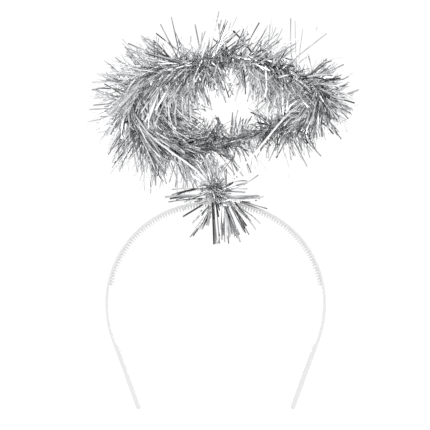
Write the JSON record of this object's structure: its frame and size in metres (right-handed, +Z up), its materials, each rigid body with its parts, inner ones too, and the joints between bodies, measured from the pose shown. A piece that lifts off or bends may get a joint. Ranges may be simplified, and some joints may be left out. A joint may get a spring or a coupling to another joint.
{
  "type": "halo headband",
  "caption": "White plastic comb headband with a tinsel ring held above it on two white wires and a tinsel tuft on its crown.",
  "frame": {"origin": "where the teeth of the comb rest on the crown of the head, in the middle of the band", "axes": "+Z up along the band's height, +X to the viewer's right across the band, -Y to the front"},
  "size_m": [0.1669, 0.1609, 0.2455],
  "materials": {
    "band_plastic": "white moulded plastic with a soft gloss",
    "wire_coating": "smooth white coated wire",
    "tinsel_foil": "bright silver metallised film, cut in narrow strips"
  },
  "bodies": {
    "root": {"headband": "band_plastic", "saddle": "band_plastic", "left_stem": "wire_coating", "right_stem": "wire_coating", "halo_ring": "wire_coating", "ring_tinsel": "tinsel_foil", "tinsel_tuft": "tinsel_foil"}
  },
  "joints": []
}
